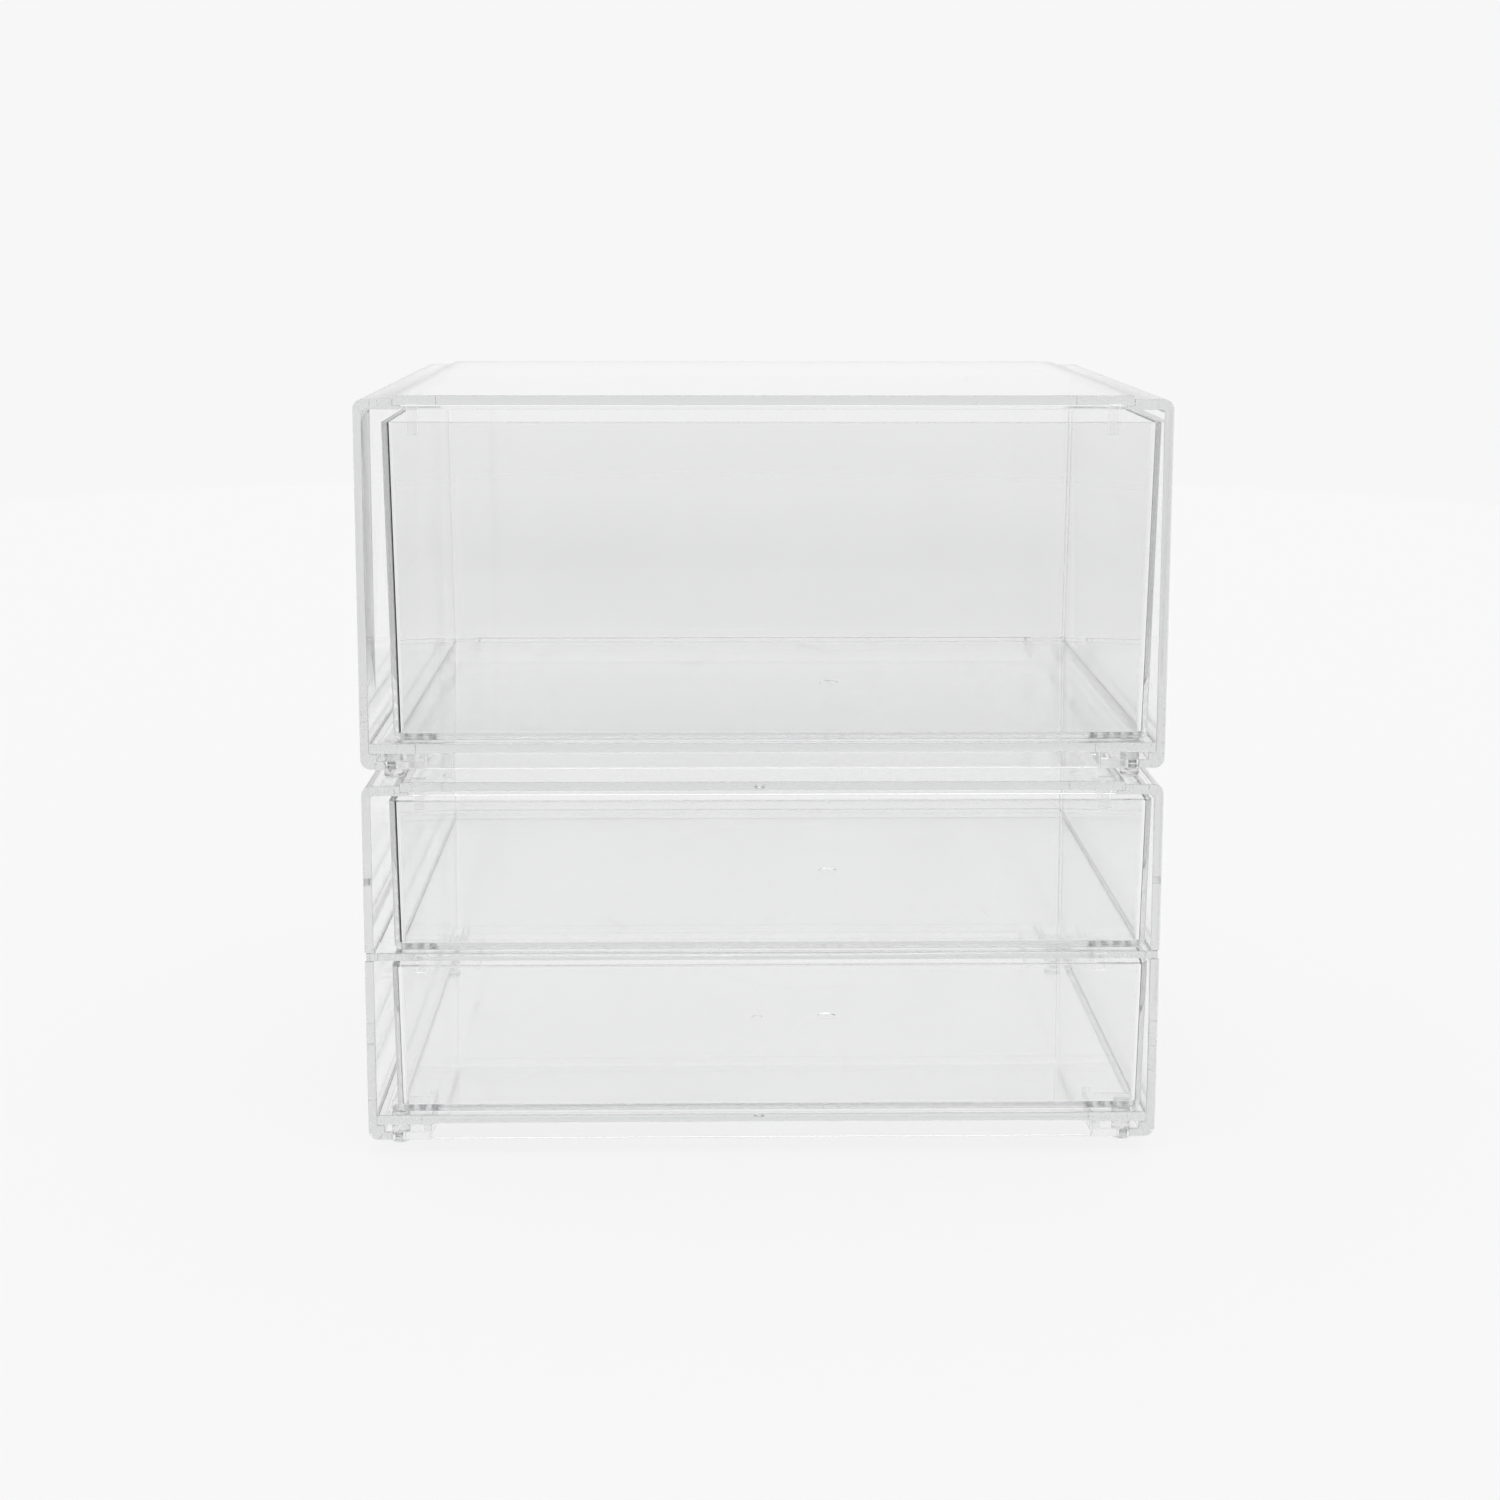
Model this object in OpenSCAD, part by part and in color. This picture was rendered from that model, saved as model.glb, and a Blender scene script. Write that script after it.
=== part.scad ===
// Stackable drawer box in clear moulded plastic.
// Two casings of one size stand on top of each other: the lower one has a shelf and two
// shallow drawers, and the upper one has a single deep drawer.
// Millimetres, +Z up. The front faces -Y and +X is to the right. The origin is the middle
// of the footprint, on the surface that the feet stand on.

/* [Casing] */
// Outside width of a casing
casing_w = 250; // [200:1:340]
// Depth of a casing, front to back
casing_d = 180; // [140:1:260]
// Height of a casing, without its feet
casing_h = 115; // [95:1:170]
// Thickness of the side walls
side_t = 2.8; // [2:0.1:3.4]
// Thickness of the bottom panel, and of the flange at the top of each side
panel_t = 3.2; // [2.6:0.1:4]
// Thickness of the back panel
back_t = 2.5; // [2:0.1:4]
// Radius of the long outer corners
corner_r = 3.2; // [1.5:0.1:4]
// Radius of the fillet between a side wall and its flange
fillet_r = 1.5; // [0.5:0.1:2]
// Gap around a panel or a peg that is pushed into its place
fit = 0.1; // [0.05:0.05:0.2]

/* [Top panel] */
// Width of the flange at the top of each side, out to the seam with the top panel
flange_w = 12; // [11.5:0.1:18]
// Width of the lip that carries the edge of the top panel
lip_w = 2.5; // [1.5:0.1:4]
// Thickness of that lip
lip_t = 1.2; // [0.8:0.1:1.6]
// Height of the top panel above the flanges, where it locates the feet of the casing above
platform_h = 1.1; // [0.6:0.1:2]
// Thickness of the ribs and skirts along the front and back edges of the panels
edge_rib_t = 2.6; // [1.6:0.1:4]

/* [Base] */
// Height of the bottom panel above the lower edge of the casing
skirt_h = 5; // [4.4:0.1:8]
// Width of the soles, the flanges at the lower corners of each side that hold the feet
sole_w = 20; // [18:0.5:30]
// How far a sole runs on past the middle of its foot
sole_tail = 9; // [5:0.5:30]
// Thickness of the soles
sole_t = 2.8; // [2:0.1:3.4]
// Width of the ledge along each wall, and of a sole's rib, which carry the bottom panel
ledge_w = 2.4; // [1.5:0.1:3]
// Width and depth of the upright ribs in front of the back panel
back_rib = 1.5; // [1:0.1:2.5]

/* [Feet] */
// Height of a foot below the casing
foot_h = 5; // [3:0.1:8]
// Diameter of a foot
foot_d = 6; // [5:0.1:7]
// Diameter of the peg that holds a foot in the sole
peg_d = 4.2; // [3:0.1:4.6]
// Diameter of the head that keeps the peg in
head_d = 5.4; // [4.9:0.1:6]
// Height of that head
head_h = 1.4; // [0.8:0.1:1.8]
// Distance of a foot's centre from the front or back of the casing
foot_setback = 13; // [9:0.5:30]
// Gap between a foot and the edge of the top panel below it
foot_play = 0.4; // [0.3:0.1:1]
// Gap left under the upper casing's feet where they stand on the lower casing
stack_gap = 0.2; // [0.1:0.05:0.4]

/* [Shelf] */
// Thickness of the shelf between the two shallow drawers
shelf_t = 2.5; // [2:0.1:4]
// Length of the ears that hold the shelf in the side walls
ear_l = 14; // [8:1:24]
// How far the ends of the ears lie below the outside of the side walls
ear_shy = 0.4; // [0.2:0.1:1]
// Distance of the rear ears from the back panel
ear_rear = 24; // [10:1:40]

/* [Drawers] */
// Thickness of a drawer's walls
wall_t = 2.1; // [1.8:0.1:3.4]
// Thickness of a drawer's floor
floor_t = 2.5; // [2:0.1:3.4]
// Outer radius of a drawer's corners and bottom edges
drawer_r = 3; // [2:0.1:4]
// Inner radius of a drawer's corners and bottom edges
drawer_inner_r = 1.6; // [0.8:0.1:2]
// Slope of a drawer's walls, in degrees
draft = 1; // [0.5:0.1:1.5]
// Gap on each side of a drawer that stands in the middle of its bay
side_play = 2.85; // [2:0.05:4]
// Gap on the right of a drawer as it stands, pushed over to that side
right_gap = 0.35; // [0.3:0.05:2]
// Gap under a drawer
under_gap = 0.3; // [0.2:0.05:0.5]
// Gap above the deep drawer
deep_gap = 3.9; // [2:0.1:6]
// Gap above a shallow drawer
shallow_gap = 1.85; // [1:0.05:3]
// Distance of a drawer's front from the front of the casing
front_setback = 0.5; // [0:0.1:3]
// Gap behind a drawer that is pushed in
rear_gap = 4.5; // [2:0.5:10]
// How far the gate mark in a drawer's floor lies to the right of its middle
gate_shift = 22; // [-60:1:60]
// Diameter of a gate mark
gate_d = 3.4; // [2:0.1:6]
// Depth of a gate mark
gate_depth = 0.4; // [0.2:0.1:0.8]

/* [Drawer stops] */
// Width of a stop tab
stop_w = 3.7; // [2.5:0.1:8]
// Thickness of a stop tab, front to back
stop_t = 2; // [1.5:0.1:4]
// How far a stop tab reaches below the rim of the drawer
stop_reach = 4.5; // [3:0.1:8]
// Distance of a stop tab from the front of the casing
stop_setback = 8; // [7:0.5:20]
// Gap between a stop tab and the lip beside it
stop_gap = 0.65; // [0.3:0.05:20]

/* [Hidden] */

LEFT = -1;
RIGHT = 1;
FRONT = -1;
BACK = 1;

clear_plastic = [0.90, 0.93, 0.94, 0.45];
clear_foot = [0.84, 0.88, 0.90, 0.6];
clear_drawer = [0.86, 0.90, 0.92, 0.5];

// Heights of the lower edges of the two casings
lower_base = foot_h;
upper_base = foot_h + casing_h + stack_gap + foot_h;

// Heights above the lower edge of a casing
bay_floor = skirt_h + panel_t;
ceiling = casing_h - panel_t;
plate_z = ceiling + lip_t;
shelf_z = bay_floor + (ceiling - bay_floor - shelf_t) / 2;

// The inside of a casing
bay_w = casing_w - 2 * side_t;
back_y = casing_d / 2 - back_t;
rib_y = back_y - back_rib;

// The drawers
drawer_w = bay_w - 2 * side_play;
drawer_x = side_play - right_gap;
drawer_d = rib_y + casing_d / 2 - front_setback - rear_gap;
drawer_y = -casing_d / 2 + front_setback + drawer_d / 2;
deep_h = ceiling - bay_floor - under_gap - deep_gap;
shallow_h = shelf_z - bay_floor - under_gap - shallow_gap;

// The feet
foot_x = casing_w / 2 - flange_w + foot_play + foot_d / 2;
foot_y = casing_d / 2 - foot_setback;

// The stop tabs
stop_x = casing_w / 2 - flange_w - lip_w - stop_gap - stop_w / 2;

// Small overlap that keeps cuts and joined shapes clean
eps = 0.01;
$fn = 48;

// ---------- Side panels ----------

// What a rounded corner takes off a square one
module corner_cut(r) {
    difference() {
        translate([-1, -1]) square(r + 1);
        translate([r, r]) circle(r);
    }
}

// Fillet that fills an inner corner whose sides run along +X and -Y
module corner_fill(r) {
    difference() {
        translate([-eps, -r]) square([r + eps, r + eps]);
        translate([r, -r]) circle(r);
    }
}

// Section of a left side panel: X runs inwards from the outside and Y runs up
module side_section() {
    difference() {
        union() {
            square([side_t, casing_h]);
            translate([0, ceiling]) square([flange_w, panel_t]);
            translate([0, ceiling]) square([flange_w + lip_w, lip_t]);
            translate([side_t, ceiling]) corner_fill(fillet_r);
            square([side_t + ledge_w, skirt_h]);
        }
        corner_cut(corner_r);
        translate([0, casing_h]) mirror([0, 1]) corner_cut(corner_r);
    }
}

// Openings that a shelf's ears sit in: one open to the front and one near the back
module ear_cuts() {
    translate([-1, -casing_d / 2 - 1, shelf_z - fit])
        cube([side_t + 2, ear_l + fit + 1, shelf_t + 2 * fit]);
    translate([-1, rib_y - ear_rear - ear_l - fit, shelf_z - fit])
        cube([side_t + 2, ear_l + 2 * fit, shelf_t + 2 * fit]);
}

// Sole at one end of a left side panel, with a rib on its inner edge
module sole(end) {
    length = foot_setback + sole_tail;
    start = side_t + ledge_w - eps;
    translate([start, end * (casing_d - length) / 2 - length / 2, 0]) {
        cube([sole_w - start, length, sole_t]);
        translate([sole_w - ledge_w - start, 0, sole_t - eps])
            cube([ledge_w, length, skirt_h - sole_t + eps]);
    }
}

module left_side(with_shelf) {
    translate([-casing_w / 2, 0, 0])
        difference() {
            union() {
                translate([0, casing_d / 2, 0])
                    rotate([90, 0, 0]) linear_extrude(casing_d) side_section();
                translate([side_t - eps, rib_y, bay_floor])
                    cube([back_rib + eps, back_rib, ceiling - bay_floor + eps]);
                for (end = [FRONT, BACK]) sole(end);
            }
            for (end = [FRONT, BACK])
                translate([casing_w / 2 - foot_x, end * foot_y, -1])
                    cylinder(d = peg_d + 2 * fit, h = sole_t + 2);
            if (with_shelf) ear_cuts();
        }
}

module side_panel(side, base, with_shelf) {
    color(clear_plastic)
        translate([0, 0, base])
            if (side == LEFT) left_side(with_shelf);
            else mirror([1, 0, 0]) left_side(with_shelf);
}

// ---------- Panels between the sides ----------

// Tabs that hang into the drawer below and catch its back wall
module stop_tabs(hang) {
    for (side = [LEFT, RIGHT])
        translate([side * stop_x - stop_w / 2, stop_setback - casing_d / 2, -hang])
            cube([stop_w, stop_t, hang + eps]);
}

// Ribs along the front and back edges of a panel, which hang down from z = 0
module edge_ribs(length, drop) {
    for (end = [FRONT, BACK])
        translate([-length / 2, end * (casing_d - edge_rib_t) / 2 - edge_rib_t / 2, -drop])
            cube([length, edge_rib_t, drop + eps]);
}

module top_panel(base, gap_below) {
    plate_w = casing_w - 2 * (flange_w + fit);
    rib_w = plate_w - 2 * lip_w;
    color(clear_plastic)
        translate([0, 0, base + plate_z])
            difference() {
                union() {
                    translate([-plate_w / 2, -casing_d / 2, 0])
                        cube([plate_w, casing_d, casing_h + platform_h - plate_z]);
                    edge_ribs(rib_w, lip_t);
                    stop_tabs(lip_t + gap_below + stop_reach);
                }
                translate([0, 0, -eps]) cylinder(d = gate_d, h = gate_depth + eps);
            }
}

module bottom_panel(base) {
    plate_w = bay_w - 2 * fit;
    skirt_w = casing_w - 2 * (sole_w + fit);
    color(clear_plastic)
        translate([0, 0, base + skirt_h])
            difference() {
                union() {
                    translate([-plate_w / 2, -casing_d / 2, 0]) cube([plate_w, casing_d, panel_t]);
                    edge_ribs(skirt_w, skirt_h);
                }
                translate([0, 0, -eps]) cylinder(d = gate_d, h = gate_depth + eps);
            }
}

// Its upper corners are rounded to clear the fillets of the side panels
module back_panel(base) {
    panel_w = bay_w - 2 * fit;
    panel_h = ceiling - bay_floor;
    color(clear_plastic)
        translate([0, back_y + back_t, base + bay_floor])
            rotate([90, 0, 0])
                linear_extrude(back_t)
                    difference() {
                        translate([-panel_w / 2, 0]) square([panel_w, panel_h]);
                        translate([-panel_w / 2, panel_h]) mirror([0, 1]) corner_cut(fillet_r + fit);
                        translate([panel_w / 2, panel_h]) rotate(180) corner_cut(fillet_r + fit);
                    }
}

module shelf() {
    plate_w = bay_w - 2 * fit;
    ear_w = casing_w - 2 * ear_shy;
    color(clear_plastic)
        translate([0, 0, lower_base + shelf_z])
            union() {
                translate([-plate_w / 2, -casing_d / 2, 0])
                    cube([plate_w, rib_y + casing_d / 2 - fit, shelf_t]);
                translate([-ear_w / 2, -casing_d / 2, 0]) cube([ear_w, ear_l, shelf_t]);
                translate([-ear_w / 2, rib_y - ear_rear - ear_l, 0]) cube([ear_w, ear_l, shelf_t]);
                stop_tabs(shallow_gap + stop_reach);
            }
}

// ---------- Feet ----------

module foot(side, end, base) {
    color(clear_foot)
        translate([side * foot_x, end * foot_y, base - foot_h])
            union() {
                cylinder(d = foot_d, h = foot_h);
                cylinder(d = peg_d, h = foot_h + sole_t + head_h);
                translate([0, 0, foot_h + sole_t]) cylinder(d = head_d, h = head_h);
            }
}

// ---------- Drawers ----------

// Box with round edges whose walls slope in by `inset` down to its bottom at z = 0
module drafted_block(width, depth, height, r, inset) {
    hull()
        for (x = [-1, 1], y = [-1, 1]) {
            translate([x * (width / 2 - r), y * (depth / 2 - r), height - eps])
                cylinder(r = r, h = eps, $fn = 32);
            translate([x * (width / 2 - inset - r), y * (depth / 2 - inset - r), r])
                sphere(r, $fn = 32);
        }
}

module drawer(height, base) {
    slope = tan(draft);
    color(clear_drawer)
        translate([drawer_x, drawer_y, base])
            difference() {
                drafted_block(drawer_w, drawer_d, height, drawer_r, height * slope);
                translate([0, 0, floor_t])
                    drafted_block(drawer_w - 2 * wall_t + 2 * slope, drawer_d - 2 * wall_t + 2 * slope,
                        height - floor_t + 1, drawer_inner_r, (height - floor_t + 1) * slope);
                translate([gate_shift, 0, floor_t - gate_depth])
                    cylinder(d = gate_d, h = gate_depth + 1);
            }
}

// ---------- Named pieces ----------

module lower_left_side() { side_panel(LEFT, lower_base, true); }
module lower_right_side() { side_panel(RIGHT, lower_base, true); }
module lower_top_panel() { top_panel(lower_base, shallow_gap); }
module lower_bottom_panel() { bottom_panel(lower_base); }
module lower_back_panel() { back_panel(lower_base); }
module lower_foot_front_left() { foot(LEFT, FRONT, lower_base); }
module lower_foot_front_right() { foot(RIGHT, FRONT, lower_base); }
module lower_foot_back_left() { foot(LEFT, BACK, lower_base); }
module lower_foot_back_right() { foot(RIGHT, BACK, lower_base); }

module upper_left_side() { side_panel(LEFT, upper_base, false); }
module upper_right_side() { side_panel(RIGHT, upper_base, false); }
module upper_top_panel() { top_panel(upper_base, deep_gap); }
module upper_bottom_panel() { bottom_panel(upper_base); }
module upper_back_panel() { back_panel(upper_base); }
module upper_foot_front_left() { foot(LEFT, FRONT, upper_base); }
module upper_foot_front_right() { foot(RIGHT, FRONT, upper_base); }
module upper_foot_back_left() { foot(LEFT, BACK, upper_base); }
module upper_foot_back_right() { foot(RIGHT, BACK, upper_base); }

module deep_drawer() { drawer(deep_h, upper_base + bay_floor + under_gap); }
module middle_drawer() { drawer(shallow_h, lower_base + shelf_z + shelf_t + under_gap); }
module bottom_drawer() { drawer(shallow_h, lower_base + bay_floor + under_gap); }

lower_left_side();
lower_right_side();
lower_top_panel();
lower_bottom_panel();
lower_back_panel();
shelf();
lower_foot_front_left();
lower_foot_front_right();
lower_foot_back_left();
lower_foot_back_right();
upper_left_side();
upper_right_side();
upper_top_panel();
upper_bottom_panel();
upper_back_panel();
upper_foot_front_left();
upper_foot_front_right();
upper_foot_back_left();
upper_foot_back_right();
deep_drawer();
middle_drawer();
bottom_drawer();
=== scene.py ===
import math

import bmesh
import bpy
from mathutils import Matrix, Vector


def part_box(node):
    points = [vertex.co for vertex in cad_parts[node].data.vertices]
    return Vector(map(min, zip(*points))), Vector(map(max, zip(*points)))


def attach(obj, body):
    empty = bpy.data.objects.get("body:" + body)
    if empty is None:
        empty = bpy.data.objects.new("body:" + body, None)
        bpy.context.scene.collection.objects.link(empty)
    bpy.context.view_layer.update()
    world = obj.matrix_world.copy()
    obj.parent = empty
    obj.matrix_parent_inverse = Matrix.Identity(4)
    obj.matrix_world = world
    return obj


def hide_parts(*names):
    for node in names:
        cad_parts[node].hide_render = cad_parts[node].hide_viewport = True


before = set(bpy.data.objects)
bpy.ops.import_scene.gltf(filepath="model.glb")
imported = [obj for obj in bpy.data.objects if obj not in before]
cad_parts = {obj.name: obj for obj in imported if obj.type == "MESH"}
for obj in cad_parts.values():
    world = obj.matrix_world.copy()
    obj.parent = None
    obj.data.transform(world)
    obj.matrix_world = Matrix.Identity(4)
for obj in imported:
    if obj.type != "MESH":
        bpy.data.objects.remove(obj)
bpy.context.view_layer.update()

# ---------- Side panels ----------
# Each casing has a left and a right side of clear styrene, moulded in one piece. The wall
# turns in at the top as a flange with a thin lip, and has a ledge along its lower edge with
# a sole at each end for the feet. The lower pair is notched front and rear for the shelf.
MM = 0.001
LEFT, RIGHT = -1, 1
UNITS = ("lower", "upper")

WALL = 2.8 * MM
FLANGE_REACH = 12 * MM
LIP_REACH = 14.5 * MM
LIP_THICK = 1.2 * MM
SOLE_REACH = 20 * MM
SOLE_LENGTH = 22 * MM
SOLE_THICK = 2.8 * MM
LEDGE = 2.4 * MM
SKIRT = 5 * MM
FOOT_IN = 8.6 * MM
FOOT_SETBACK = 13 * MM
PANEL_THICK = 3.2 * MM
LONG_CORNER = 3.2 * MM
INNER_FILLET = 1.2 * MM
MOULDED_EDGE = 0.3 * MM
PLAY = 0.1 * MM
AIR = 0.03 * MM
REAR_RIB = 1.5 * MM
BACK_THICK = 2.5 * MM
PEG_HOLE = 2.2 * MM
EAR_LENGTH = 14 * MM
EAR_FROM_REAR = 24 * MM
LEAD_LENGTH = 17 * MM
LEAD_DEEP = 0.3 * MM
LEAD_RUNOUT = 3 * MM
LEAD_FADE = 40 * MM
LEAD_LOW = 12 * MM

# Joined solids run this far into each other, and cutting ones this far past a surface
OVERLAP = 0.5 * MM
REACH = 1 * MM

# Steps in the round stretches of an outline, and sides of a round bar
CORNER_STEPS = 10
FILLET_STEPS = 6
PIN_SIDES = 32

# Corners closer than WELD are one, faces within FLATNESS are one plane, a turn between the two
# slight angles keeps its crease, and a turn sharper than SHARP is eased
WELD = 0.002 * MM
FLATNESS = math.radians(0.1)
SLIGHT = math.radians(0.8)
SLIGHT_END = 3 * SLIGHT
SHARP = math.radians(35)
EASE_SEGMENTS = 2
FLAT_WEIGHT = 100


def arc(centre, radius, start, end, steps):
    """Points on a round stretch of an outline, from one angle to another, in degrees."""
    turns = [math.radians(start + (end - start) * i / steps) for i in range(steps + 1)]
    return [(centre[0] + radius * math.cos(a), centre[1] + radius * math.sin(a)) for a in turns]


def circle(x, y, radius, sides):
    """The corners of a round outline."""
    return arc((x, y), radius, 0, 360, sides)[:-1]


def workpiece(mesh_maker):
    """A loose solid, made by a function that fills a bmesh, with its faces turned outwards."""
    bm = bmesh.new()
    mesh_maker(bm)
    bmesh.ops.recalc_face_normals(bm, faces=bm.faces)
    mesh = bpy.data.meshes.new("workpiece")
    bm.to_mesh(mesh)
    bm.free()
    piece = bpy.data.objects.new("workpiece", mesh)
    bpy.context.scene.collection.objects.link(piece)
    return piece


def bar(points, run):
    """A straight bar: a flat outline of points, drawn out along the vector run."""
    def fill(bm):
        face = bm.faces.new([bm.verts.new(point) for point in points])
        drawn = bmesh.ops.extrude_face_region(bm, geom=[face])["geom"]
        moved = [v for v in drawn if isinstance(v, bmesh.types.BMVert)]
        bmesh.ops.translate(bm, verts=moved, vec=run)
    return workpiece(fill)


def extrusion(outline, start_y, end_y):
    """A bar along Y, with an outline of points (x, z)."""
    return bar([(x, start_y, z) for x, z in outline], (0, end_y - start_y, 0))


def block(low, high):
    """A straight-sided bar between two corners."""
    return extrusion(
        [(low[0], low[2]), (high[0], low[2]), (high[0], high[2]), (low[0], high[2])],
        low[1], high[1])


def pin(x, y, bottom, top, radius):
    """An upright round bar."""
    ring = [(px, py, bottom) for px, py in circle(x, y, radius, PIN_SIDES)]
    return bar(ring, (0, 0, top - bottom))


def lead_in(inner, outwards, front, bottom, top):
    """The wedge that tapers the mouth of a side wall. It runs out upwards and downwards."""
    back = front + LEAD_LENGTH
    start = front - REACH
    deep = inner + outwards * LEAD_DEEP * (back - start) / LEAD_LENGTH
    clear = inner - outwards * REACH
    points = [(x, y, z) for x in (clear, inner) for y in (start, back) for z in (bottom, top)]
    points += [(deep, start, bottom + LEAD_FADE), (deep, start, top - LEAD_RUNOUT)]

    def fill(bm):
        bmesh.ops.convex_hull(bm, input=[bm.verts.new(point) for point in points])
    return workpiece(fill)


def moulding(name, solid, added=(), cut=(), edge=MOULDED_EDGE):
    """One closed moulding: solids joined, hollows taken away, and every sharp edge eased."""
    for tools, operation in ((added, "UNION"), (cut, "DIFFERENCE")):
        for tool in tools:
            join = solid.modifiers.new("join", "BOOLEAN")
            join.operation = operation
            join.solver = "EXACT"
            join.object = tool
    graph = bpy.context.evaluated_depsgraph_get()
    mesh = bpy.data.meshes.new_from_object(solid.evaluated_get(graph))
    for used in [solid, *added, *cut]:
        bpy.data.objects.remove(used)
    bm = bmesh.new()
    bm.from_mesh(mesh)
    bmesh.ops.remove_doubles(bm, verts=bm.verts, dist=WELD)
    bmesh.ops.dissolve_limit(bm, angle_limit=FLATNESS, verts=bm.verts, edges=bm.edges)
    for face in bm.faces:
        face.smooth = True
    for crease in bm.edges:
        if len(crease.link_faces) == 2 and SLIGHT < crease.calc_face_angle() < SLIGHT_END:
            crease.smooth = False
    bm.to_mesh(mesh)
    bm.free()
    mesh.name = name
    piece = bpy.data.objects.new(name, mesh)
    bpy.context.scene.collection.objects.link(piece)
    if edge:
        easing = piece.modifiers.new("eased edges", "BEVEL")
        easing.width = edge
        easing.segments = EASE_SEGMENTS
        easing.limit_method = "ANGLE"
        easing.angle_limit = SHARP
        easing.use_clamp_overlap = False
    flats = piece.modifiers.new("flat faces", "WEIGHTED_NORMAL")
    flats.weight = FLAT_WEIGHT
    flats.keep_sharp = True
    return piece


def seat(piece, node, body, finish):
    """Puts a finished piece in the place of its CAD node."""
    piece.data.materials.clear()
    piece.data.materials.append(finish)
    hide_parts(node)
    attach(piece, body)


def add_node(tree, kind, values=None, **settings):
    """Adds a shader node with its settings and the values of its sockets."""
    made = tree.nodes.new(kind)
    for key, value in settings.items():
        setattr(made, key, value)
    for socket, value in (values or {}).items():
        made.inputs[socket].default_value = value
    return made


def node_maths(tree, operation, a, b=0.0, c=0.0):
    """A maths node whose inputs are numbers or the sockets of other nodes."""
    made = add_node(tree, "ShaderNodeMath", operation=operation)
    for socket, value in zip(made.inputs, (a, b, c)):
        if isinstance(value, float):
            socket.default_value = value
        else:
            tree.links.new(value, socket)
    return made.outputs["Value"]


# The clear styrene's finish: clouds that lighten the tint and multiply the haze, and patches
# where fine scratches show. The scales are repeats in a metre.
CLOUD_SCALE, CLOUD_DETAIL = 22, 3
CLOUD_FROM, CLOUD_TO = 0.35, 0.65
TINT_SPREAD = 0.008
HAZE_SPREAD = 2.5
SCRATCH_SCALE, SCRATCH_DETAIL = 14, 1
SCRATCH_CORE, SCRATCH_RIM = 0.0004, 0.0007
PATCH_SCALE, PATCH_DETAIL = 27, 0
PATCH_FROM, PATCH_TO = 0.62, 0.66
SCRATCH_HAZE = 0.25
FLOW_STRETCH = (4, 4, 24)
DEPTH_COLOUR = (0.950, 0.951, 0.952, 1)


def moulded_clear(name, tint, haze, ripple, depth_tint, index=1.58):
    """Clear styrene: a faint uneven tint, a polish that varies, flow ripples, hairlines from
    handling, and a body that greys slowly with the length of plastic the light crosses."""
    finish = bpy.data.materials.new(name)
    finish.use_nodes = True
    tree = finish.node_tree
    link = tree.links.new
    shader = tree.nodes["Principled BSDF"]
    shader.inputs["Transmission Weight"].default_value = 1.0
    shader.inputs["IOR"].default_value = index
    place = add_node(tree, "ShaderNodeTexCoord").outputs["Object"]

    def noise(scale, detail, stretch=(1, 1, 1)):
        spread = add_node(tree, "ShaderNodeMapping", {"Scale": stretch})
        link(place, spread.inputs["Vector"])
        made = add_node(tree, "ShaderNodeTexNoise", {"Scale": scale, "Detail": detail})
        link(spread.outputs["Vector"], made.inputs["Vector"])
        return made.outputs["Fac"]

    def ramp(value, start, end, low=0.0, high=1.0):
        made = add_node(tree, "ShaderNodeMapRange", {
            "From Min": start, "From Max": end, "To Min": low, "To Max": high})
        link(value, made.inputs["Value"])
        return made.outputs["Result"]

    def mix(factor, a, b):
        made = add_node(tree, "ShaderNodeMix", data_type="RGBA")
        link(factor, made.inputs["Factor"])
        for socket, colour in zip((made.inputs["A"], made.inputs["B"]), (a, b)):
            if isinstance(colour, tuple):
                socket.default_value = (*colour, 1)
            else:
                link(colour, socket)
        return made.outputs["Result"]

    cloud = noise(CLOUD_SCALE, CLOUD_DETAIL)
    centred = node_maths(tree, "SUBTRACT", noise(SCRATCH_SCALE, SCRATCH_DETAIL), 0.5)
    bend = node_maths(tree, "ABSOLUTE", centred)
    patch = ramp(noise(PATCH_SCALE, PATCH_DETAIL), PATCH_FROM, PATCH_TO)
    scratch = ramp(bend, SCRATCH_CORE, SCRATCH_RIM, 1.0, 0.0)
    hairline = node_maths(tree, "MULTIPLY", scratch, patch)
    body = mix(ramp(cloud, CLOUD_FROM, CLOUD_TO), tint, tuple(c + TINT_SPREAD for c in tint))
    link(mix(hairline, body, (1.0, 1.0, 1.0)), shader.inputs["Base Color"])

    polish = ramp(cloud, 0.0, 1.0, haze, haze * HAZE_SPREAD)
    scuffed = node_maths(tree, "MULTIPLY_ADD", hairline, SCRATCH_HAZE, polish)
    link(scuffed, shader.inputs["Roughness"])

    relief = add_node(tree, "ShaderNodeBump", {"Strength": 1.0, "Distance": ripple})
    link(noise(1, 1, FLOW_STRETCH), relief.inputs["Height"])
    link(relief.outputs["Normal"], shader.inputs["Normal"])

    depth = add_node(tree, "ShaderNodeVolumeAbsorption", {
        "Color": DEPTH_COLOUR, "Density": depth_tint})
    link(depth.outputs["Volume"], tree.nodes["Material Output"].inputs["Volume"])
    return finish


casing_clear = moulded_clear("casing_clear", tint=(0.985, 0.986, 0.986), haze=0.006,
                             ripple=0.03 * MM, depth_tint=26)


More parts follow.
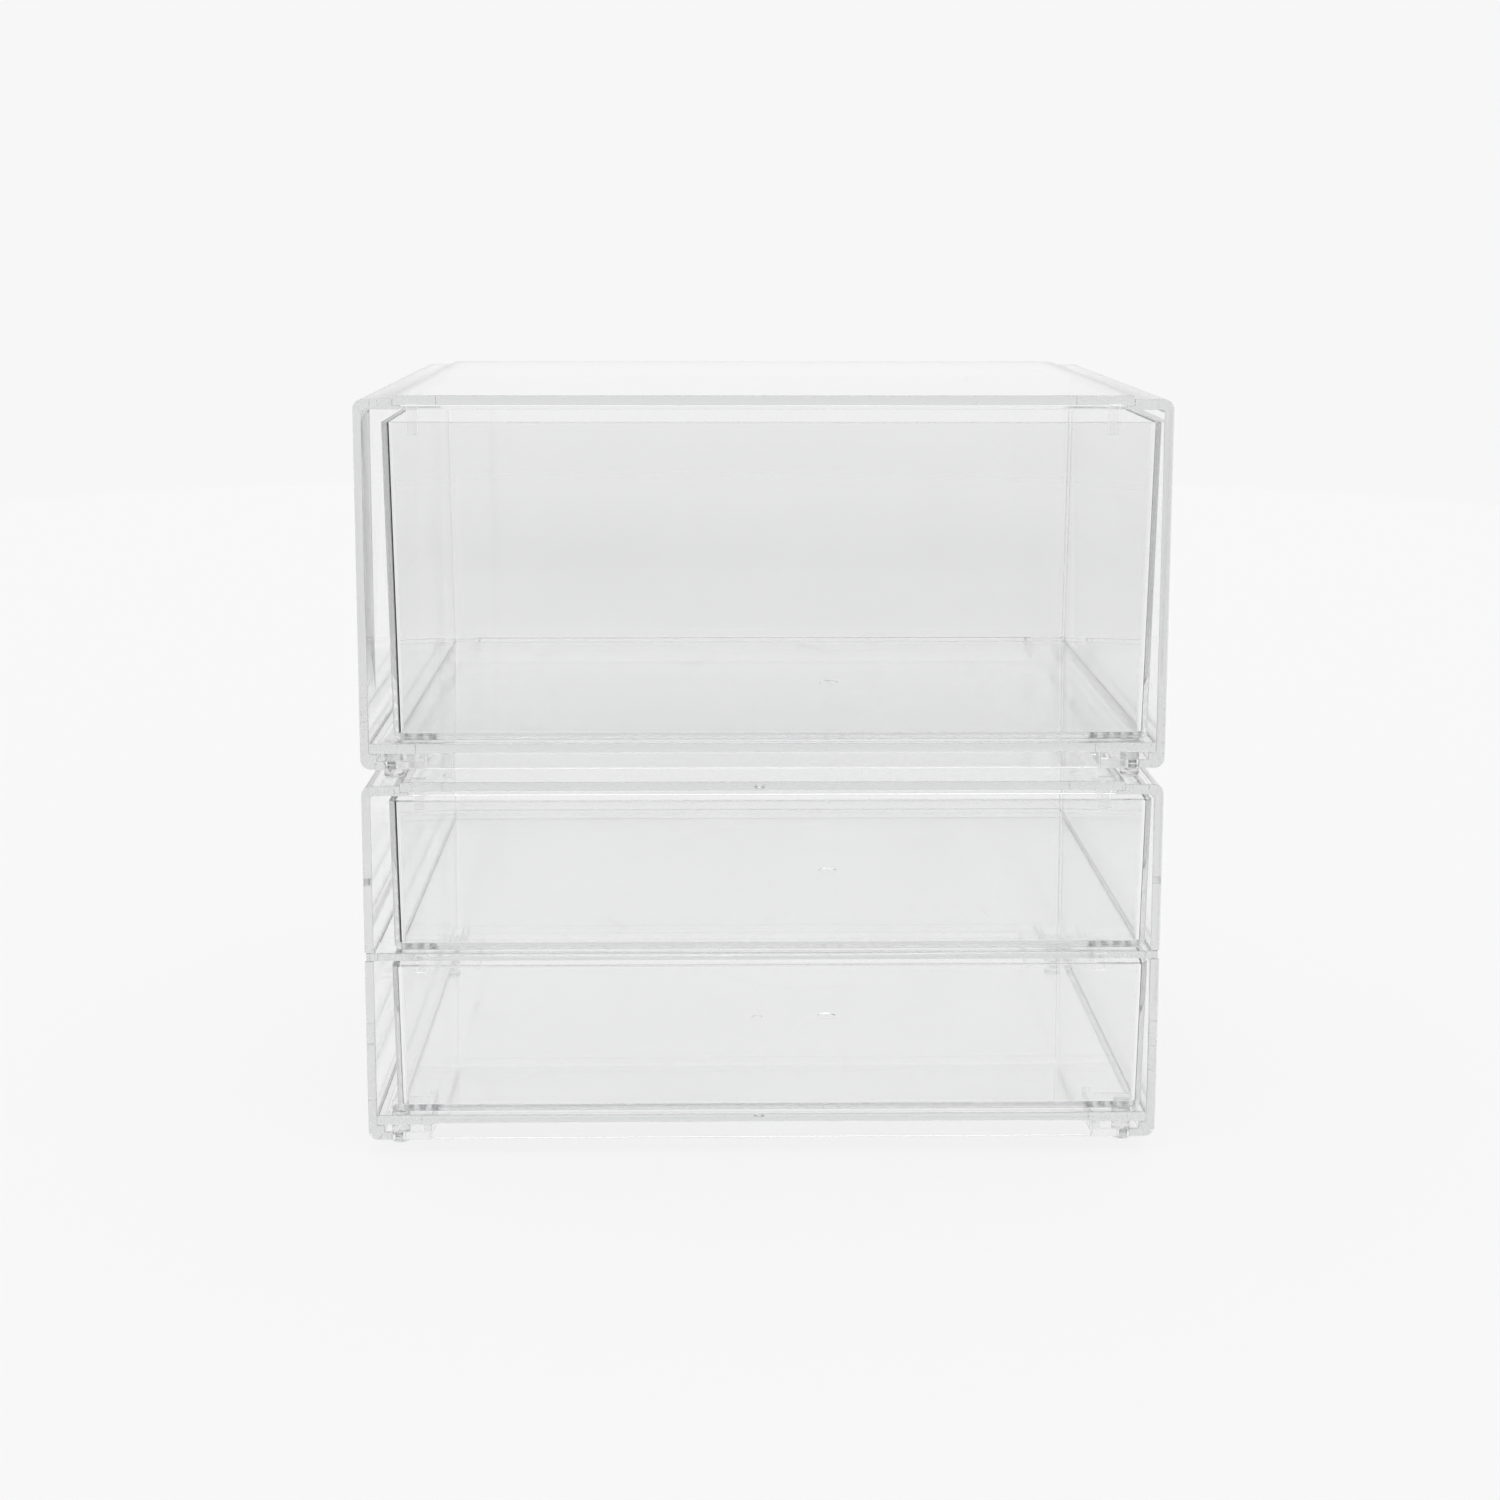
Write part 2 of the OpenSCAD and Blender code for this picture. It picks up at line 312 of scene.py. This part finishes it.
def side_outline(base, top, outside, inwards):
    """Section of a side panel, from its lower to its upper edge. inwards is 1 or -1 in x."""
    ceiling = top - PANEL_THICK
    c, f = LONG_CORNER, INNER_FILLET
    run = arc((c, base + c), c, 180, 270, CORNER_STEPS)
    ledge_top = base + SKIRT - AIR
    run += [(WALL + LEDGE, base), (WALL + LEDGE, ledge_top), (WALL, ledge_top)]
    run += arc((WALL + f, ceiling - f), f, 180, 90, FILLET_STEPS)
    lip_top = ceiling + LIP_THICK - AIR
    run += [(LIP_REACH, ceiling), (LIP_REACH, lip_top), (FLANGE_REACH, lip_top)]
    run += [(FLANGE_REACH, top)]
    run += arc((c, top - c), c, 90, 180, CORNER_STEPS)
    return [(outside + inwards * x, z) for x, z in run]


def sole_outline(base, outside, inwards):
    """Section of a sole: a flat flange that ends in a rib under the bottom panel."""
    start = WALL + LEDGE - OVERLAP
    rib_top = base + SKIRT - AIR
    run = [(start, base), (SOLE_REACH, base), (SOLE_REACH, rib_top)]
    run += [(SOLE_REACH - LEDGE, rib_top), (SOLE_REACH - LEDGE, base + SOLE_THICK)]
    run += [(start, base + SOLE_THICK)]
    return [(outside + inwards * x, z) for x, z in run]


SHELF_THICK = 2.5 * MM
shelf_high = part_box("shelf")[1]
back_low, back_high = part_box("lower_back_panel")
shelf_bottom = shelf_high.z - SHELF_THICK

for unit in UNITS:
    for side, word in ((LEFT, "left"), (RIGHT, "right")):
        node = f"{unit}_{word}_side"
        low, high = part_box(node)
        outside = low.x if side == LEFT else high.x
        inwards = -side
        wall = extrusion(side_outline(low.z, high.z, outside, inwards), low.y, high.y)
        inner = outside + inwards * WALL
        rib_x = sorted((inner - inwards * OVERLAP, inner + inwards * REAR_RIB))
        rib_back = high.y - BACK_THICK
        rib = block((rib_x[0], rib_back - REAR_RIB, low.z + SKIRT + PANEL_THICK + AIR),
                    (rib_x[1], rib_back - AIR, high.z - PANEL_THICK + OVERLAP))
        soles = [extrusion(sole_outline(low.z, outside, inwards), y0, y0 + SOLE_LENGTH)
                 for y0 in (low.y, high.y - SOLE_LENGTH)]
        foot_x = outside + inwards * FOOT_IN
        cuts = [pin(foot_x, y, low.z - REACH, low.z + SOLE_THICK + REACH, PEG_HOLE)
                for y in (low.y + FOOT_SETBACK, high.y - FOOT_SETBACK)]
        if node == "upper_left_side":
            cuts.append(lead_in(inner, -inwards, low.y, low.z + SKIRT + PANEL_THICK + LEAD_LOW,
                                high.z - PANEL_THICK - INNER_FILLET))
        if unit == "lower":
            notch_x = sorted((outside - inwards * REACH, inner + inwards * REACH))
            rear_y = rib_back - REAR_RIB - EAR_FROM_REAR
            for y0, y1 in ((low.y - REACH, low.y + EAR_LENGTH + PLAY),
                           (rear_y - EAR_LENGTH - PLAY, rear_y + PLAY)):
                cuts.append(block((notch_x[0], y0, shelf_bottom - PLAY),
                                  (notch_x[1], y1, shelf_high.z + PLAY)))
        panel = moulding(f"{unit}_{word}_wall", wall, added=[rib, *soles], cut=cuts)
        seat(panel, node, f"{unit}_casing", casing_clear)

# ---------- Back panels ----------
# A flat plate of the same clear styrene closes the back of each casing. It stands between
# the side walls, behind their upright ribs, and its upper corners clear the fillets.
BACK_CORNER = INNER_FILLET + 4 * PLAY
BACK_STEPS = 5

for unit in UNITS:
    node = f"{unit}_back_panel"
    low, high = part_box(node)
    r, top = BACK_CORNER, high.z - AIR
    plate = [(low.x, low.z + AIR), (high.x, low.z + AIR)]
    plate += arc((high.x - r, top - r), r, 0, 90, BACK_STEPS)
    plate += arc((low.x + r, top - r), r, 90, 180, BACK_STEPS)
    panel = moulding(f"{unit}_rear_plate", extrusion(plate, low.y, high.y))
    seat(panel, node, f"{unit}_casing", casing_clear)

# ---------- Bottom panels ----------
# The floor of a casing is a flat plate that lies on the ledges and ribs of the two sides.
# A skirt hangs from its front and back edges, and the gate left a round dimple below.
SKIRT_THICK = 2.6 * MM
SKIRT_END = 0.1 * MM
GATE_RADIUS = 1.7 * MM
GATE_DEEP = 0.3 * MM


def gate_dimple(x, y, surface, up, radius=GATE_RADIUS):
    """The hollow that a moulding gate leaves: it goes up or down from a surface."""
    z0, z1 = sorted((surface - up * REACH, surface + up * GATE_DEEP))
    return pin(x, y, z0, z1, radius)


for unit in UNITS:
    node = f"{unit}_bottom_panel"
    low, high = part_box(node)
    plate_z = high.z - PANEL_THICK
    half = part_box(f"{unit}_right_side")[1].x - SOLE_REACH - SKIRT_END
    plate = block((low.x, low.y, plate_z), tuple(high))
    skirts = [block((-half, low.y, low.z), (half, low.y + SKIRT_THICK, plate_z + REACH)),
              block((-half, high.y - SKIRT_THICK, low.z), (half, high.y, plate_z + REACH))]
    panel = moulding(f"{unit}_floor_plate", plate, added=skirts,
                     cut=[gate_dimple(0, 0, plate_z, 1)])
    seat(panel, node, f"{unit}_casing", casing_clear)

# ---------- Shelf ----------
# The lower casing is divided by a thin clear shelf. Its four ears plug into the notches of
# the side walls, and two tabs under its front edge stop the drawer below.
STOP_WIDE = 3.7 * MM
STOP_THICK = 2 * MM
STOP_X = 108 * MM
STOP_SETBACK = 8 * MM


def stop_tabs(front, bottom, top):
    """Two short tabs that hang into a drawer and catch its back wall."""
    return [block((x - STOP_WIDE / 2, front + STOP_SETBACK, bottom),
                  (x + STOP_WIDE / 2, front + STOP_SETBACK + STOP_THICK, top))
            for x in (-STOP_X, STOP_X)]


low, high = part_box("shelf")
underside = high.z - SHELF_THICK
half = back_high.x
plate = block((-half, low.y, underside), (half, high.y, high.z))
rear_y = back_low.y - REAR_RIB - EAR_FROM_REAR
ears = [block((low.x, y0, underside), (high.x, y1, high.z))
        for y0, y1 in ((low.y, low.y + EAR_LENGTH), (rear_y - EAR_LENGTH, rear_y))]
panel = moulding("shelf_plate", plate, added=ears + stop_tabs(low.y, low.z, underside + REACH))
seat(panel, "shelf", "lower_casing", casing_clear)

# ---------- Top panels ----------
# The roof of a casing is a plate that rests on the lips of the two sides and stands a
# little proud of their flanges, where it keeps the feet of the next casing in place. Ribs
# stiffen its front and back edges, and two tabs behind the front rib stop the top drawer.
RIB_END = 0.1 * MM

for unit in UNITS:
    node = f"{unit}_top_panel"
    low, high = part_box(node)
    side_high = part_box(f"{unit}_right_side")[1]
    plate_z = side_high.z - PANEL_THICK + LIP_THICK
    rib_z = side_high.z - PANEL_THICK
    half = side_high.x - LIP_REACH - RIB_END
    plate = block((low.x, low.y, plate_z), tuple(high))
    ribs = [block((-half, low.y, rib_z), (half, low.y + SKIRT_THICK, plate_z + REACH)),
            block((-half, high.y - SKIRT_THICK, rib_z), (half, high.y, plate_z + REACH))]
    panel = moulding(f"{unit}_roof_plate", plate,
                     added=ribs + stop_tabs(low.y, low.z, plate_z + REACH),
                     cut=[gate_dimple(0, 0, plate_z, 1)])
    seat(panel, node, f"{unit}_casing", casing_clear)

# ---------- Feet ----------
# Each casing stands on four short round pegs of cloudier plastic. A peg's neck goes up
# through the sole of a side panel, and a wider head holds it there.
FOOT_HIGH = 5 * MM
FOOT_RADIUS = 3 * MM
NECK_RADIUS = 2.1 * MM
HEAD_RADIUS = 2.7 * MM
TURNED_EDGE = 0.5 * MM
HEAD_EDGE = 0.35 * MM
PEG_SIDES = 40
PEG_STEPS = 4
foot_clear = moulded_clear("foot_clear", tint=(0.955, 0.957, 0.958), haze=0.10,
                           ripple=0.03 * MM, depth_tint=60, index=1.50)


def lofted(rings):
    """A closed solid through rings of points, capped at the first and the last."""
    def fill(bm):
        corners = [[bm.verts.new(point) for point in ring] for ring in rings]
        bm.faces.new(list(reversed(corners[0])))
        bm.faces.new(corners[-1])
        count = len(corners[0])
        for below, above in zip(corners, corners[1:]):
            for i in range(count):
                j = (i + 1) % count
                bm.faces.new((below[i], below[j], above[j], above[i]))
    return workpiece(fill)


def turned(name, x, y, profile):
    """A round piece, turned from the (radius, height) points of its profile."""
    rings = [[(px, py, z) for px, py in circle(x, y, radius, PEG_SIDES)]
             for radius, z in profile]
    return moulding(name, lofted(rings), edge=0)


for unit in UNITS:
    for end_word in ("front", "back"):
        for side_word in ("left", "right"):
            node = f"{unit}_foot_{end_word}_{side_word}"
            low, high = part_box(node)
            middle = (low + high) / 2
            neck_z = low.z + FOOT_HIGH
            head_z = neck_z + SOLE_THICK
            profile = arc((FOOT_RADIUS - TURNED_EDGE, low.z + TURNED_EDGE), TURNED_EDGE,
                          270, 360, PEG_STEPS)
            profile += [(FOOT_RADIUS, neck_z - AIR), (NECK_RADIUS, neck_z - AIR)]
            profile += [(NECK_RADIUS, head_z + AIR), (HEAD_RADIUS, head_z + AIR)]
            profile += arc((HEAD_RADIUS - HEAD_EDGE, high.z - HEAD_EDGE), HEAD_EDGE,
                           0, 90, PEG_STEPS)
            foot = turned(f"{unit}_peg_{end_word}_{side_word}", middle.x, middle.y, profile)
            seat(foot, node, f"{unit}_casing", foot_clear)

# ---------- Drawers ----------
# Three open boxes of clear styrene, each moulded in one shot: the walls slope a degree for
# the mould, corners and bottom edges are round, and the gate left a dimple in the floor.
DRAWER_WALL = 2.1 * MM
DRAWER_FLOOR = 2.2 * MM
DRAFT = math.tan(math.radians(1))
OUTER_CORNER = 3 * MM
OUTER_EDGE = 1.8 * MM
INNER_CORNER = 1.6 * MM
INNER_EDGE = 0.3 * MM
BACK_EDGE = 1.8 * MM
RIM_EDGE = 0.45 * MM
EDGE_TURN = 15
RIM_TURN = 30
GATE_SHIFT = 22 * MM
DRAWER_GATE = 3.2 * MM
drawer_clear = moulded_clear("drawer_clear", tint=(0.970, 0.971, 0.971), haze=0.010,
                             ripple=0.05 * MM, depth_tint=28)


def quarter(turn):
    """The angles of a quarter round, in steps of so many degrees."""
    return [math.radians(degrees) for degrees in range(0, 91, turn)]


def drawer_box(name, node):
    """An open box with sloping walls, lofted through level rings from its underside,
    up the outside, over the rim and down the inside to the floor."""
    low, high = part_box(node)
    middle = (low + high) / 2
    half_x, half_y = (high.x - low.x) / 2, (high.y - low.y) / 2
    levels = []

    def level(z, inset, corner, back=0.0):
        levels.append((z, inset, corner, back))

    def outside(z):
        return (high.z - z) * DRAFT

    base_in = outside(low.z + OUTER_EDGE)
    for a in quarter(EDGE_TURN):
        step = OUTER_EDGE * (1 - math.sin(a))
        level(low.z + OUTER_EDGE * (1 - math.cos(a)), base_in + step, OUTER_CORNER - step)
    rim_z = high.z - RIM_EDGE
    for a in quarter(RIM_TURN):
        step = RIM_EDGE * (1 - math.cos(a))
        level(rim_z + RIM_EDGE * math.sin(a), outside(rim_z) + step, OUTER_CORNER - step)
    inner_rim = outside(rim_z) + DRAWER_WALL
    for a in reversed(quarter(RIM_TURN)):
        step = RIM_EDGE * (1 - math.cos(a))
        level(rim_z + RIM_EDGE * math.sin(a), inner_rim - step, INNER_CORNER + step)
    floor_z = low.z + DRAWER_FLOOR
    rises = {r * (1 - math.cos(a)) for r in (BACK_EDGE, INNER_EDGE) for a in quarter(EDGE_TURN)}
    for rise in sorted(rises, reverse=True):
        step, back = (r - math.sqrt(r * r - max(r - rise, 0) ** 2)
                      for r in (INNER_EDGE, BACK_EDGE))
        level(floor_z + rise, outside(floor_z + rise) + DRAWER_WALL + step,
              INNER_CORNER - step, back - step)

    rings = []
    for z, inset, corner, back in levels:
        cx, cy = half_x - inset - corner, half_y - inset - corner
        centres = ((cx, cy - back), (-cx, cy - back), (-cx, -cy), (cx, -cy))
        rings.append([(middle.x + px, middle.y + py, z)
                      for centre, turn in zip(centres, (0, 90, 180, 270))
                      for px, py in arc(centre, corner, turn, turn + 90, CORNER_STEPS)])
    dimple = gate_dimple(middle.x + GATE_SHIFT, middle.y, floor_z, -1, DRAWER_GATE)
    return moulding(name, lofted(rings), cut=[dimple], edge=0)


# The painted shade in a front corner, a dark strip that stands in for light trapped in the
# plastic: its tone, how unevenly it lies, and which faces take it, by how much of a face's
# direction points to the back, and how little of it up or down
PAINTED_SHADE_TONE = 0.035
LINE_ROUGH = 0.9
LINE_CLOUD = {"Scale": 60, "Detail": 2}
LINE_SHADES = ((0.35, 0.7), (0.65, 1.3))
LINE_COOL = 1.02
LINE_FROM, LINE_TO = 0.48, 0.71
LINE_UPRIGHT = 0.1


def painted_corner_shade(name, tone):
    """Painted shade: a dark, a little uneven finish that stands in for the light trapped where
    a front corner turns.
    """
    finish = bpy.data.materials.new(name)
    finish.use_nodes = True
    tree = finish.node_tree
    shader = tree.nodes["Principled BSDF"]
    shader.inputs["Roughness"].default_value = LINE_ROUGH
    shader.inputs["Specular IOR Level"].default_value = 0
    place = add_node(tree, "ShaderNodeTexCoord").outputs["Object"]
    cloud = add_node(tree, "ShaderNodeTexNoise", LINE_CLOUD)
    tree.links.new(place, cloud.inputs["Vector"])
    shades = add_node(tree, "ShaderNodeValToRGB")
    for mark, (position, share) in zip(shades.color_ramp.elements, LINE_SHADES):
        mark.position = position
        mark.color = (tone * share, tone * share, tone * share * LINE_COOL, 1)
    tree.links.new(cloud.outputs["Fac"], shades.inputs["Fac"])
    tree.links.new(shades.outputs["Color"], shader.inputs["Base Color"])
    return finish


def paint_shade_on_left_corner(drawer, finish):
    """Paints shade on a narrow upright strip of the front left corner's inner fillet, giving it
    its own dark finish.
    """
    drawer.data.materials.append(finish)
    middle_y = sum(corner[1] for corner in drawer.bound_box) / len(drawer.bound_box)
    for face in drawer.data.polygons:
        n = face.normal
        turned_so = LINE_FROM < n.y < LINE_TO and n.x > 0 and abs(n.z) < LINE_UPRIGHT
        if turned_so and face.center.y < middle_y:
            face.material_index = 1


# Painted shade: a dark line down the front left inner corner of the deep and middle drawers
corner_shade_paint = painted_corner_shade("painted_shade_line", PAINTED_SHADE_TONE)
for node in ("deep_drawer", "middle_drawer", "bottom_drawer"):
    drawer = drawer_box(f"{node}_box", node)
    seat(drawer, node, node, drawer_clear)
    if node != "bottom_drawer":
        paint_shade_on_left_corner(drawer, corner_shade_paint)

# ---------- Floor, light and camera ----------
# The boxes stand on a pale sheet under soft, even light from above, with a darker room on
# the camera's side that the clear plastic picks up along its edges.
WHITE = (1, 1, 1, 1)
FLOOR_RADIUS = 1.3
FLOOR_SIDES = 96
FLOOR_FADE = 0.14
FLOOR_EDGE = 0.02
FLOOR_BACK = 0.75
FLOOR_ROUGH = 0.8
FLOOR_TONE = 0.08
FLOOR_GLOW = 0.857
BACKDROP = 0.93

floor_mesh = bpy.data.meshes.new("floor")
bm = bmesh.new()
bm.faces.new([bm.verts.new((x, y, -AIR))
              for x, y in circle(0, FLOOR_BACK, FLOOR_RADIUS, FLOOR_SIDES)])
bm.to_mesh(floor_mesh)
bm.free()
floor = bpy.data.objects.new("floor", floor_mesh)
bpy.context.scene.collection.objects.link(floor)
paper = bpy.data.materials.new("pale_paper")
paper.use_nodes = True
tree = paper.node_tree
tree.nodes.clear()
link = tree.links.new
spot = add_node(tree, "ShaderNodeTexCoord")
shifted = add_node(tree, "ShaderNodeVectorMath", operation="SUBTRACT")
shifted.inputs[1].default_value = (0, FLOOR_BACK, 0)
link(spot.outputs["Object"], shifted.inputs[0])
far = add_node(tree, "ShaderNodeVectorMath", operation="LENGTH")
link(shifted.outputs["Vector"], far.inputs[0])
fade = add_node(tree, "ShaderNodeMapRange", interpolation_type="SMOOTHSTEP")
fade.inputs["From Min"].default_value = FLOOR_RADIUS - FLOOR_FADE
fade.inputs["From Max"].default_value = FLOOR_RADIUS - FLOOR_EDGE
link(far.outputs["Value"], fade.inputs["Value"])
sheet = add_node(tree, "ShaderNodeBsdfPrincipled")
sheet.inputs["Base Color"].default_value = (FLOOR_TONE, FLOOR_TONE, FLOOR_TONE, 1)
sheet.inputs["Roughness"].default_value = FLOOR_ROUGH
sheet.inputs["Specular IOR Level"].default_value = 0
sheet.inputs["Emission Color"].default_value = WHITE
sheet.inputs["Emission Strength"].default_value = FLOOR_GLOW
clear = add_node(tree, "ShaderNodeBsdfTransparent")
mix = add_node(tree, "ShaderNodeMixShader")
link(fade.outputs["Result"], mix.inputs["Fac"])
link(sheet.outputs["BSDF"], mix.inputs[1])
link(clear.outputs["BSDF"], mix.inputs[2])
out = add_node(tree, "ShaderNodeOutputMaterial")
link(mix.outputs["Shader"], out.inputs["Surface"])
floor_mesh.materials.append(paper)

world = bpy.data.worlds.new("studio")
bpy.context.scene.world = world
world.use_nodes = True
tree = world.node_tree
tree.nodes.clear()
link = tree.links.new
way = add_node(tree, "ShaderNodeTexCoord")
parts = add_node(tree, "ShaderNodeSeparateXYZ")
link(way.outputs["Generated"], parts.inputs["Vector"])

# Brightness at each elevation in degrees: all round, and on the camera's side. The second
# run starts ROOM_REACH degrees to each side of the camera's way and is full at ROOM_FULL.
FULL = 2.0
OVERHEAD = [(50, 0.45), (58, FULL), (74, FULL), (84, 1.0)]
TENT = [(22, 0.93), (34, 0.45), *OVERHEAD]
ROOM = [(-20, 0.44), (-18.2, 0.3), (-16.6, 0.22), (-14.5, 0.4), (-12.7, 0.73), (-11.3, 0.32),
        (-10.1, 0.26), (-8.1, 0.28), (-6.1, 0.5), (-4.1, 0.85), (-1, 0.62), (1, 0.5),
        (28, 0.5), (40, 0.45), *OVERHEAD]
ROOM_REACH = 36
ROOM_FULL = 26


def by_elevation(stops):
    """A smooth run of brightness over the elevation of a direction."""
    position = add_node(tree, "ShaderNodeMapRange", {"From Min": -1})
    link(parts.outputs["Z"], position.inputs["Value"])
    made = add_node(tree, "ShaderNodeValToRGB")
    made.color_ramp.interpolation = "EASE"
    marks = made.color_ramp.elements
    while len(marks) < len(stops):
        marks.new(0.5)
    for mark, (degrees, level) in zip(marks, stops):
        mark.position = (math.sin(math.radians(degrees)) + 1) / 2
        mark.color = (level / FULL,) * 3 + (1,)
    link(position.outputs["Result"], made.inputs["Fac"])
    return made.outputs["Color"]


height = parts.outputs["Z"]
squared = node_maths(tree, "MULTIPLY", height, height)
flat = node_maths(tree, "SQRT", node_maths(tree, "SUBTRACT", 1.0, squared))
forward = node_maths(tree, "MULTIPLY", parts.outputs["Y"], -1.0)
sector = add_node(tree, "ShaderNodeMapRange", {
    "From Min": math.cos(math.radians(ROOM_REACH)),
    "From Max": math.cos(math.radians(ROOM_FULL))}, interpolation_type="SMOOTHSTEP")
link(node_maths(tree, "DIVIDE", forward, flat), sector.inputs["Value"])

# The room shows only in reflections, so that a box seen from behind is as clear as its ground
seen = add_node(tree, "ShaderNodeLightPath")
mirrored = node_maths(tree, "GREATER_THAN", seen.outputs["Glossy Depth"], 0.5)
share = node_maths(tree, "MULTIPLY", sector.outputs["Result"], mirrored)
all_round = add_node(tree, "ShaderNodeMix", data_type="RGBA")
link(share, all_round.inputs["Factor"])
link(by_elevation(TENT), all_round.inputs["A"])
link(by_elevation(ROOM), all_round.inputs["B"])
level = node_maths(tree, "MULTIPLY", all_round.outputs["Result"], FULL)
view = add_node(tree, "ShaderNodeMix", data_type="FLOAT")
link(seen.outputs["Is Camera Ray"], view.inputs["Factor"])
link(level, view.inputs["A"])
view.inputs["B"].default_value = BACKDROP
glow = add_node(tree, "ShaderNodeBackground")
glow.inputs["Color"].default_value = WHITE
link(view.outputs["Result"], glow.inputs["Strength"])
out = add_node(tree, "ShaderNodeOutputWorld")
link(glow.outputs["Background"], out.inputs["Surface"])

# Light crosses dozens of clear walls before it gets out, and a low limit leaves black spots
BOUNCES = 96
FADED_EDGE_BOUNCES = 16
scene = bpy.context.scene
scene.view_settings.view_transform = "Standard"
scene.cycles.max_bounces = BOUNCES
scene.cycles.transmission_bounces = BOUNCES
scene.cycles.glossy_bounces = BOUNCES
scene.cycles.transparent_max_bounces = FADED_EDGE_BOUNCES

LENS = 56
SENSOR = 36
SHIFT = -0.125
NEAREST = 0.01
PLACE = (-0.01677, -0.79824, 0.29255)
PITCH = 0.1437
YAW = -0.0173
ROLL = 0.0017
lens = bpy.data.cameras.new("camera")
camera = bpy.data.objects.new("camera", lens)
scene.collection.objects.link(camera)
lens.lens = LENS
lens.sensor_width = SENSOR
lens.shift_y = SHIFT
lens.clip_start = NEAREST
camera.location = PLACE
camera.rotation_euler = (math.pi / 2 - PITCH, -ROLL, YAW)
scene.camera = camera
